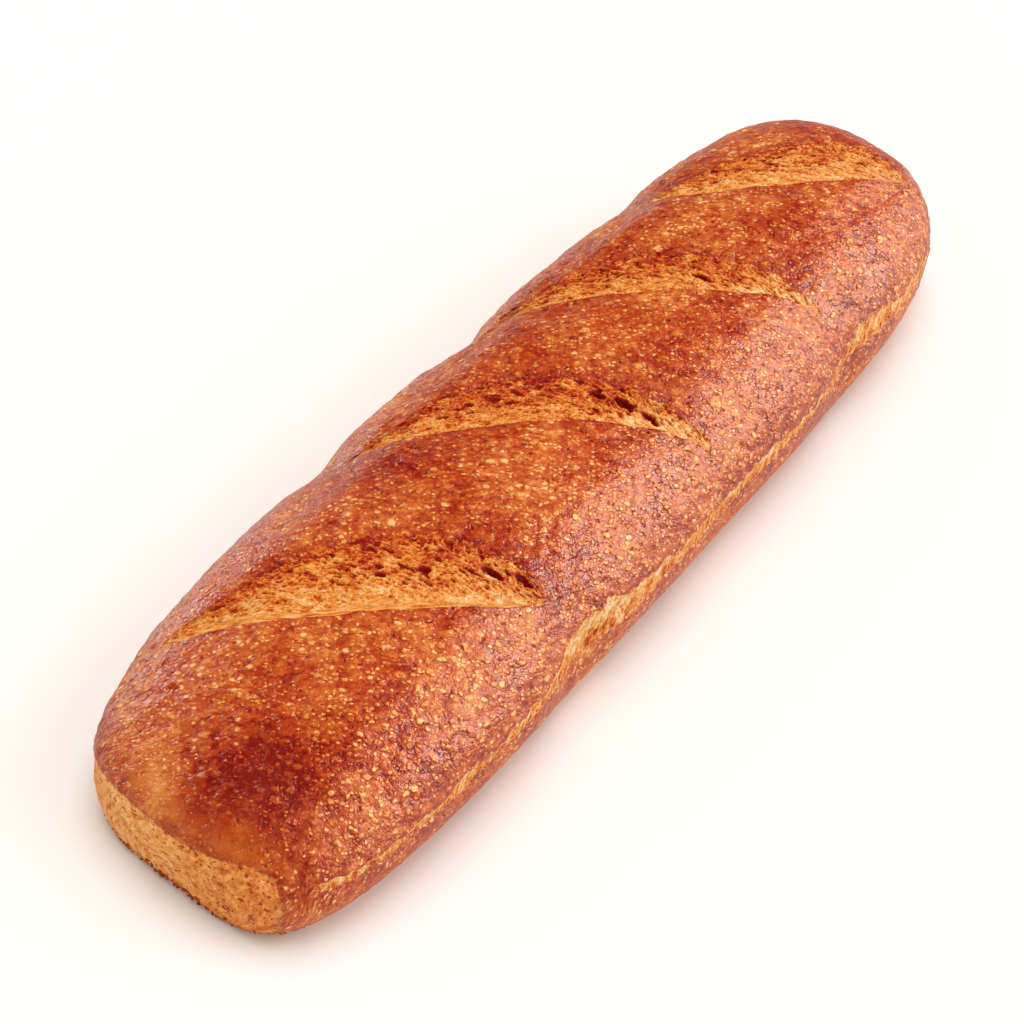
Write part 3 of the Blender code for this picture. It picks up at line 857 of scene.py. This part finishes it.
def crumb_patch(number):
    """The crumb that shows in a slash, from under its near lip to under its far lip."""
    slash = SLASHES[number]
    upper = even_shares(UPPER, CRUMB_SPACING)
    middle = (np.ones(len(upper)), np.full(len(upper), UPPER), upper)
    level_y, level_z = outline(np.full(len(upper), slash.left[0] / 2 + slash.right[0] / 2), middle)
    shares = np.concatenate([upper[:-1], upper[::-1]])
    sides = np.concatenate([np.ones(len(upper) - 1), -np.ones(len(upper))])
    ys = np.concatenate([level_y[:-1], -level_y[::-1]])
    zs = np.concatenate([level_z[:-1], level_z[::-1]])
    run_s = np.concatenate([[0], np.cumsum(np.hypot(np.diff(ys), np.diff(zs)))])
    keep = (ys < slash.left[1] + BEYOND_LEFT) & (ys > slash.right[1] - BEYOND_RIGHT)
    strip = (sides[keep], np.full(keep.sum(), UPPER), shares[keep])
    run_s = run_s[keep]
    tip_s = np.interp(BEYOND_LEFT - slash.right[1], -ys[keep], run_s)
    rows = round(WIDEST_OPENING / CRUMB_SPACING)
    share = np.linspace(0, 1, rows)[:, None]
    y = np.zeros((rows, keep.sum()))
    for _ in range(SLIDE_STEPS):
        near, far = lips(number, y)
        x = near - TUCK + (far - near + 2 * TUCK) * share
        y = 0.6 * y + 0.4 * outline(x, strip)[0]
    y, z = outline(x, strip)
    near, far = lips(number, y)
    opening = far - near
    slope = math.hypot(slash.right[0] - slash.left[0], tip_s - run_s[0])
    ux, us = (slash.right[0] - slash.left[0]) / slope, (tip_s - run_s[0]) / slope
    run = (x - slash.left[0]) * ux + (run_s[None, :] - run_s[0]) * us
    cross = (x - near) * us                     # across the slash, from its near lip
    full = np.maximum(opening * us, 1e-5)
    share_across = cross / full
    force = strength(number, y)
    flat = points_at(run, cross, 0.3 * number)

    # Pores lie along the slash at its +Y tip, and turn to lie round the loaf at its -Y tip
    steps = np.linspace(-0.03, slope + 0.03, 500)
    lean = -np.radians(10 + 32 * smooth(steps / slope, 0.20, 0.80))
    swept = [np.concatenate([[0], np.cumsum(way(lean)[1:] * np.diff(steps))]) for way in (np.cos, np.sin)]
    lean_here = np.interp(run, steps, lean)
    p = np.interp(run, steps, swept[0]) + cross * np.sin(lean_here) + 0.0008 * noise(flat, 0.004, 38)
    q = cross * np.cos(lean_here) - np.interp(run, steps, swept[1]) + 0.0005 * noise(flat, 0.003, 39)
    large, _ = pores(p, q, 0.00130, 3.2, 0.13, 0.0017, 200 + number)
    medium, wall = pores(p, q, 0.00090, 3.0, 0.26, 0.0011, 210 + number)
    small, thin_wall = pores(p, q, 0.00062, 2.4, 0.36, 0.0006, 220 + number)
    depth = np.maximum(np.maximum(large, medium), small) * (0.35 + 0.65 * smooth(share_across, 0.15, 0.55))
    for px, py, long, size, deep in LARGE_PORES:
        away = np.hypot(x - px, y - py)
        if away.min() > 0.0015:
            continue
        spot = away.argmin()
        dp, dq = p - p.flat[spot], q - q.flat[spot]
        away = np.hypot(dp / (long * 0.6), dq / (size * 0.6)) + 0.22 * noise(flat, 0.0014, 30 + number)
        depth = np.maximum(depth, 0.8 * deep * np.clip(1 - np.maximum(away, 0) ** 2.6, 0, 1) ** 0.7)

    ragged_fibres = cross + 0.0012 * noise(flat, (0.009, 0.003, 1), 40)
    fibres = FIBRES[number] * (1 - 0.75 * smooth(run / slope, 0.55, 0.92)) * smooth(run / slope, -0.02, 0.12)
    band = 1 - smooth(ragged_fibres, 0.30 * fibres, fibres + 0.0001)
    depth = depth * (1 - 0.85 * band) * smooth(cross, 0.0004, 0.0014)
    depth = depth * (0.25 + 0.75 * smooth(opening, 0.001, 0.006))
    # ragged hollows under the far lip, where the crust tore away
    by_far = smooth(cross, full - 0.0032, full - 0.0008) * smooth(opening, 0.003, 0.008)
    torn = smooth(noise(flat, (0.0052, 0.0022, 1), 44), 0.10, 0.50) * by_far
    depth = np.maximum(depth, 0.0003 * torn)

    floor = np.interp(share_across, (-0.15, 0.0, 0.12, 0.40, 0.75, 0.93, 1.0, 1.10),
                      (-0.0008, -0.0003, -0.0003, -0.0008, -0.0009, -0.0003, 0.0000, -0.0002))
    floor = floor * force - 0.00022
    tucked = smooth(-cross, 0.0001, 0.0010) + smooth(cross - full, 0.0004, 0.0014)
    floor = floor - 0.0010 * tucked - 0.00025 * (1 - smooth(opening, 0, 0.0016))
    crags = 0.00050 * noise(flat, (0.0060, 0.0030, 1), 32) + 0.00024 * wall + 0.00014 * thin_wall
    crags += 0.00034 * noise(points_at(p, q, 0.0), (0.0030, 0.0012, 1), 33)
    crags += 0.00020 * noise(points_at(p, q, 0.0), (0.0013, 0.0007, 1), 34)
    streaks = 0.00034 * noise(flat, (0.010, 0.0012, 1), 35) + 0.00026 * noise(flat, (0.005, 0.0008, 1), 36)
    visible = smooth(opening, 0.0, 0.005)
    rise = floor + visible * ((1 - band) * crags + band * streaks - depth)
    rise = rise + valleys(x, y, z) + unevenness(points_at(x, y, z))
    out_y, out_z = outward(x, y, z, strip)
    points = points_at(x, y + out_y * rise, z + out_z * rise)

    # Painted shade: a pore is darker the deeper it is, and the crumb just under the far lip and in the torn
    # hollows there is darker still. The rest is darker the nearer it lies to the far lip
    toasted = 0.75 * smooth(share_across, 0.05, 1.0) - 0.12 + 0.25 * smooth(share_across, 0.88, 1.0)
    toasted += 0.30 * noise(flat, 0.0045, 37) * smooth(share_across, 0.25, 0.7)
    toasted += 0.15 * torn + 0.10 * (1 - smooth(run / slope, 0.02, 0.25))
    toasted -= PALE_TIPS[number] * smooth(run / slope, 0.62, 0.92)
    toasted += BROWNED[number] * np.sin(math.pi * np.clip(run / slope * 1.2, 0, 1))
    in_band = band > 0.5
    wide_enough = np.where(opening.max(axis=0) > 0.0003)[0]
    return crumb_mesh(
        f"slash_crumb_{number + 1}", points, wide_enough[[0, -1]], False,
        points_at(np.where(in_band, run, p), np.where(in_band, cross, q), 0.0),
        # painted shade, darker the deeper a pore is
        hollow=np.clip(depth / 0.0013, 0, 1.5),
        band=band * smooth(cross, -0.0006, 0.0002),
        toasted=np.clip(toasted, -0.3, 1.3),
        # painted highlight on the walls between pores
        ridge=0.6 * wall + 0.4 * thin_wall,
    )


# Bread crumb, torn and then dried by the oven: matt and golden, its pores darkened with painted shade and the
# thin walls between them paled with a painted highlight, and pale fibres where it was drawn out.
crumb, tree, shader, mm = new_material("torn_bread_crumb")
flow = node(tree, "Attribute", {"attribute_name": "grained"}).outputs["Vector"]
stretch = node(tree, "VectorMath", {"operation": "MULTIPLY"}, _0=flow, _1=(0.22, 1.5, 1.0)).outputs[0]
streak = node(tree, "TexNoise", Vector=stretch, Scale=0.9, Detail=3.0, Roughness=0.65).outputs["Fac"]
grain = node(tree, "TexNoise", Vector=mm, Scale=1 / 0.9, Detail=3.0, Roughness=0.65).outputs["Fac"]
patches = node(tree, "VectorMath", {"operation": "MULTIPLY"}, _0=flow, _1=(0.13, 0.34, 1.0)).outputs[0]
blotch = node(tree, "TexNoise", Vector=patches, Scale=1.0, Detail=3.0, Roughness=0.6).outputs["Fac"]
band_here, toast_and_shade_here, relief_shading_here, wall_highlight_here = fields(tree, "band", "toasted", "hollow", "ridge")
# painted shade in the pores and under the lips, painted highlight on the walls and lumps
tone = weighted_sum(tree, -0.965, (grain, 0.95), (blotch, 1.20), (streak, 0.70), (wall_highlight_here, 0.36),
                    (toast_and_shade_here, -0.34), (relief_shading_here, -0.62))
fibre_tone = weighted_sum(tree, -0.375, (streak, 1.9), (relief_shading_here, -0.45))
tone = node(tree, "Mix", {"data_type": "FLOAT"}, _0=band_here, _2=tone, _3=fibre_tone).outputs[0]
CRUMB_TONES = (
    (0.0, "#8E0E00"), (0.16, "#B42A00"), (0.32, "#CE580C"), (0.48, "#E4862E"), (0.64, "#F2A450"),
    (0.80, "#FABF78"), (1.0, "#FFE2B2"),
)
colour = node(tree, "ValToRGB", {"tones": CRUMB_TONES}, Fac=tone).outputs[0]
high = weighted_sum(tree, 0.0, (grain, 0.55), (streak, 0.30))
bump = node(tree, "Bump", Strength=1.0, Distance=0.001, Height=high).outputs[0]
node(tree, shader, Base_Color=colour, Normal=bump, Roughness=0.7, IOR=1.4, Specular_IOR_Level=0.2)

for number in range(len(SLASHES)):
    add_piece(f"slash_crumb_{number + 1}", crumb_patch(number), crumb)

# ---------------------------------------------------------------------------------------------------
# The crumb in the tears: low along each flank the top crust rose off the crust in the tray, and a
# strip of pale stretched crumb shows between them, widest where the tear climbs.
# ---------------------------------------------------------------------------------------------------
TEAR_SPACING = 0.00036
TEAR_COLUMNS = 950
TEAR_TUCK = 0.0014
TEAR_END = 0.1705      # x of the ends of a strip
TEAR_SLANT = 0.55      # how far the strands lean along X for each metre up


def tear_strip(side_sign, name):
    """The crumb that shows in the tear along one flank, a little beyond both of its lips."""
    rows = round((TEAR_WIDTH + TEAR_OPEN + 2 * TEAR_TUCK) / TEAR_SPACING)
    x = np.tile(np.linspace(-TEAR_END, TEAR_END, TEAR_COLUMNS), (rows, 1))
    low, high, opened, there = tear_heights(x, side_sign)
    share = np.linspace(0, 1, rows)[:, None]
    up = low - TEAR_TUCK + (high - low + 2 * TEAR_TUCK) * share
    half, crest, under, waist = section(x)
    room = np.maximum(crest - waist, 1e-6)
    rel = np.clip(up / room, 1e-4, 0.97)
    angle = np.arcsin(rel ** (TOP_SQUARENESS / 2))
    y = side_sign * half * np.cos(angle) ** (2 / TOP_SQUARENESS)
    z = waist + up
    strip = (np.full_like(x, side_sign), np.full_like(x, UPPER), share + 0 * x)
    out_y, out_z = outward(x, y, z, strip)
    middle = (up - low) / np.maximum(high - low, 1e-4)
    inside = np.clip(middle, 0, 1)
    bowl = np.sin(math.pi * inside)
    flat = points_at(x, up, 0.05 * side_sign)
    rise = -(0.00015 + (0.25 * TEAR_DEPTH + 0.30 * TEAR_OPEN_DEPTH * opened) * bowl)
    rise -= 0.0011 * (smooth(low - up, 0.0001, 0.001) + smooth(up - high, 0.0001, 0.001))
    rise -= 0.0008 * (1 - there)
    # crumb pulled aslant between the two crusts: strands and holes, longer upwards
    aslant = x - TEAR_SLANT * up
    strand = points_at(aslant, up, 0.05 * side_sign)
    p = up + 0.0007 * noise(flat, 0.004, 45)
    q = aslant + 0.0006 * noise(flat, 0.003, 46)
    large, wall = pores(p, q, 0.0010, 2.6, 0.16, 0.0009, 230)
    small, thin_wall = pores(p, q, 0.0007, 2.2, 0.30, 0.0005, 240)
    depth = np.maximum(large, small) * (0.35 + 0.65 * opened)
    lumps = 0.00026 * noise(flat, (0.0034, 0.0048, 1), 41) + 0.00030 * noise(strand, (0.0012, 0.0070, 1), 42)
    lumps += 0.00012 * noise(flat, 0.0007, 43) + 0.00010 * wall
    rise = rise + lumps * (0.55 + 0.45 * opened) - depth
    rise = rise + valleys(x, y, z) + unevenness(points_at(x, y, z))
    points = points_at(x, y + out_y * rise, z + out_z * rise)
    # paler towards the top, and on the lumps that stand highest as a painted highlight; browned below, where
    # the tear opened first; darker in its pores, and along the top under the upper crust's lip, as painted
    # shade
    below = 1 - smooth(inside + 0.25 * noise(flat, 0.004, 48), 0.15, 0.80)
    browned_and_shaded = opened * (0.78 * below - 0.58) + (1 - opened) * (0.60 * below - 0.34)
    # painted shadow of the upper crust's lip along the top of the strip
    browned_and_shaded += 0.35 * smooth(inside, 0.9, 1.0)
    browned_and_shaded += 0.4 * smooth(noise(flat, (0.011, 0.006, 1), 47), 0.1, 0.5) * (1 - opened)
    return crumb_mesh(
        name, points, (0, TEAR_COLUMNS - 1), side_sign > 0, points_at(up, aslant, 0.0),
        # painted shade in the pores, painted highlight on the lumps
        hollow=np.clip(0.6 * depth / TEAR_DEPTH - lumps / 0.0009, -0.6, 0.45),
        band=np.zeros(x.shape),
        toasted=np.clip(browned_and_shaded, -0.60, 1.0),
        # painted highlight on the walls between pores
        ridge=0.6 * wall + 0.4 * thin_wall,
    )


add_piece("tear_crumb_right", tear_strip(-1.0, "tear_crumb_right"), crumb)
add_piece("tear_crumb_left", tear_strip(1.0, "tear_crumb_left"), crumb)

# ---------------------------------------------------------------------------------------------------
# The bran on the rim: coarse grains of bran and scorched crumb that the dough picked up from the tray.
# They are baked into the edge of the base, mostly at the near end.
# ---------------------------------------------------------------------------------------------------
GRAINS = 320
GRAIN_SHAPE = (1.25, 0.95, 0.75)
bpy.ops.mesh.primitive_ico_sphere_add(subdivisions=2, radius=1.0, location=(0, 0, 0))
pattern = bpy.context.object
ball = read_field(pattern.data, "position")
triangles = [tuple(face.vertices) for face in pattern.data.polygons]
bpy.data.objects.remove(pattern)
base_mesh = bpy.data.objects["base_crust"].data
spots, normals = read_field(base_mesh, "position"), vertex_normals(base_mesh)
low_rim = (spots[:, 2] > 0.0004) & (spots[:, 2] < 0.0050) & (np.abs(normals[:, 2]) < 0.70)
spots, normals = spots[low_rim], normals[low_rim]
rng = np.random.default_rng(11)
weight = np.where(spots[:, 0] < -0.150, 2.0, 1.0) * np.where(spots[:, 2] < 0.0022, 2.0, 1.0)
chosen = rng.choice(len(spots), GRAINS, replace=False, p=weight / weight.sum())
grain_points, grain_faces = [], []
for spot, normal in zip(spots[chosen], normals[chosen]):
    size = 0.00022 + 0.00042 * rng.random() ** 2.2
    turned = np.linalg.qr(rng.normal(size=(3, 3)))[0]
    lumpy = ball * (1 + 0.22 * noise(ball * 0.9 + spot * 1000, 1.0, 48))[:, None]
    grain = (lumpy * size * np.array(GRAIN_SHAPE)) @ turned.T + spot + normal * 0.10 * size
    grain[:, 2] = np.maximum(grain[:, 2], 0)
    start = len(grain_points) * len(ball)
    grain_points.append(grain)
    grain_faces += [tuple(start + k for k in face) for face in triangles]
grain_mesh = bpy.data.meshes.new("bran_grains")
grain_mesh.from_pydata(np.concatenate(grain_points).tolist(), [], grain_faces)
grain_mesh.shade_smooth()
straight = bmesh.new()
straight.from_mesh(grain_mesh)
bmesh.ops.recalc_face_normals(straight, faces=straight.faces)
straight.to_mesh(grain_mesh)
straight.free()

# Toasted wheat bran: dry husk, dark red brown, matt, each flake a little different.
bran, tree, shader, mm = new_material("toasted_bran")
each = node(tree, "TexNoise", Vector=mm, Scale=1 / 3.0, Detail=2.0).outputs["Fac"]
husk = node(tree, "TexNoise", Vector=mm, Scale=1 / 0.3, Detail=2.0).outputs["Fac"]
tone = weighted_sum(tree, -0.55, (each, 1.6), (husk, 0.5))
BRAN_TONES = ((0.1, "#7A2408"), (0.5, "#A04414"), (0.9, "#C87236"))
colour = node(tree, "ValToRGB", {"tones": BRAN_TONES}, Fac=tone).outputs[0]
bump = node(tree, "Bump", Strength=0.6, Distance=0.0001, Height=husk).outputs[0]
node(tree, shader, Base_Color=colour, Normal=bump, Roughness=0.7, Specular_IOR_Level=0.2)
add_piece("bran_grains", grain_mesh, bran)

# ---------------------------------------------------------------------------------------------------
# Floor, light and camera: a plain pale floor under soft studio light, seen at the photograph's angle.
# ---------------------------------------------------------------------------------------------------
bpy.ops.mesh.primitive_plane_add(size=16.0, location=(0, 0, 0))
floor = bpy.context.object
floor.name = "floor"
pale_floor, tree, shader, _ = new_material("pale_floor")
node(tree, shader, Base_Color=(0.92, 0.905, 0.88, 1), Roughness=1.0, Specular_IOR_Level=0.0)
floor.data.materials.append(pale_floor)

world = bpy.data.worlds.new("studio")
bpy.context.scene.world = world
world.use_nodes = True
tree = world.node_tree
node(tree, tree.nodes["Background"], Color=(1.0, 0.88, 0.76, 1), Strength=0.62)
# The sheen comes from the reflectors alone
world.cycles_visibility.glossy = False


def soft_sun(name, azimuth, elevation, energy, angle, colour):
    """A broad soft light, so many degrees wide, from a direction: azimuth 0 is from +Y, 90 from +X."""
    bpy.ops.object.light_add(type="SUN", location=(0, 0, 1))
    light = bpy.context.object
    light.name = name
    light.data.energy = energy
    light.data.angle = math.radians(angle)
    light.data.color = colour
    light.rotation_euler = (math.radians(elevation - 90), 0, math.radians(-azimuth))
    return light


soft_sun("key", 88, 76, 1.60, 40, (0.94, 1.0, 1.06)).visible_glossy = False
soft_sun("side", 140, 33, 0.74, 40, (0.94, 1.0, 1.06)).visible_glossy = False
# Low reflectors that only show as sheen on the flanks
soft_sun("reflector_right", 148, 12, 5.6, 40, (0.88, 1.0, 0.88)).visible_diffuse = False
soft_sun("reflector_broad", 148, 18, 8.0, 66, (0.88, 1.0, 0.90)).visible_diffuse = False
soft_sun("reflector_wide", 148, 20, 3.6, 92, (0.88, 1.0, 0.90)).visible_diffuse = False
soft_sun("reflector_left", 2, 3, 4.4, 24, (1.0, 1.0, 0.96)).visible_diffuse = False

AZIMUTH, ELEVATION, DISTANCE = math.radians(-51.5), math.radians(50.0), 0.6349
TARGET = (-0.0229, 0.00145, 0.0200)
level = math.cos(ELEVATION)
back = (math.sin(AZIMUTH) * level, -math.cos(AZIMUTH) * level, math.sin(ELEVATION))
bpy.ops.object.camera_add(
    location=[t + DISTANCE * b for t, b in zip(TARGET, back)],
    rotation=(math.pi / 2 - ELEVATION, 0, AZIMUTH),
)
camera = bpy.context.object
camera.data.lens = 70
camera.data.sensor_width = 36
bpy.context.scene.camera = camera
bpy.context.scene.view_settings.view_transform = "Standard"
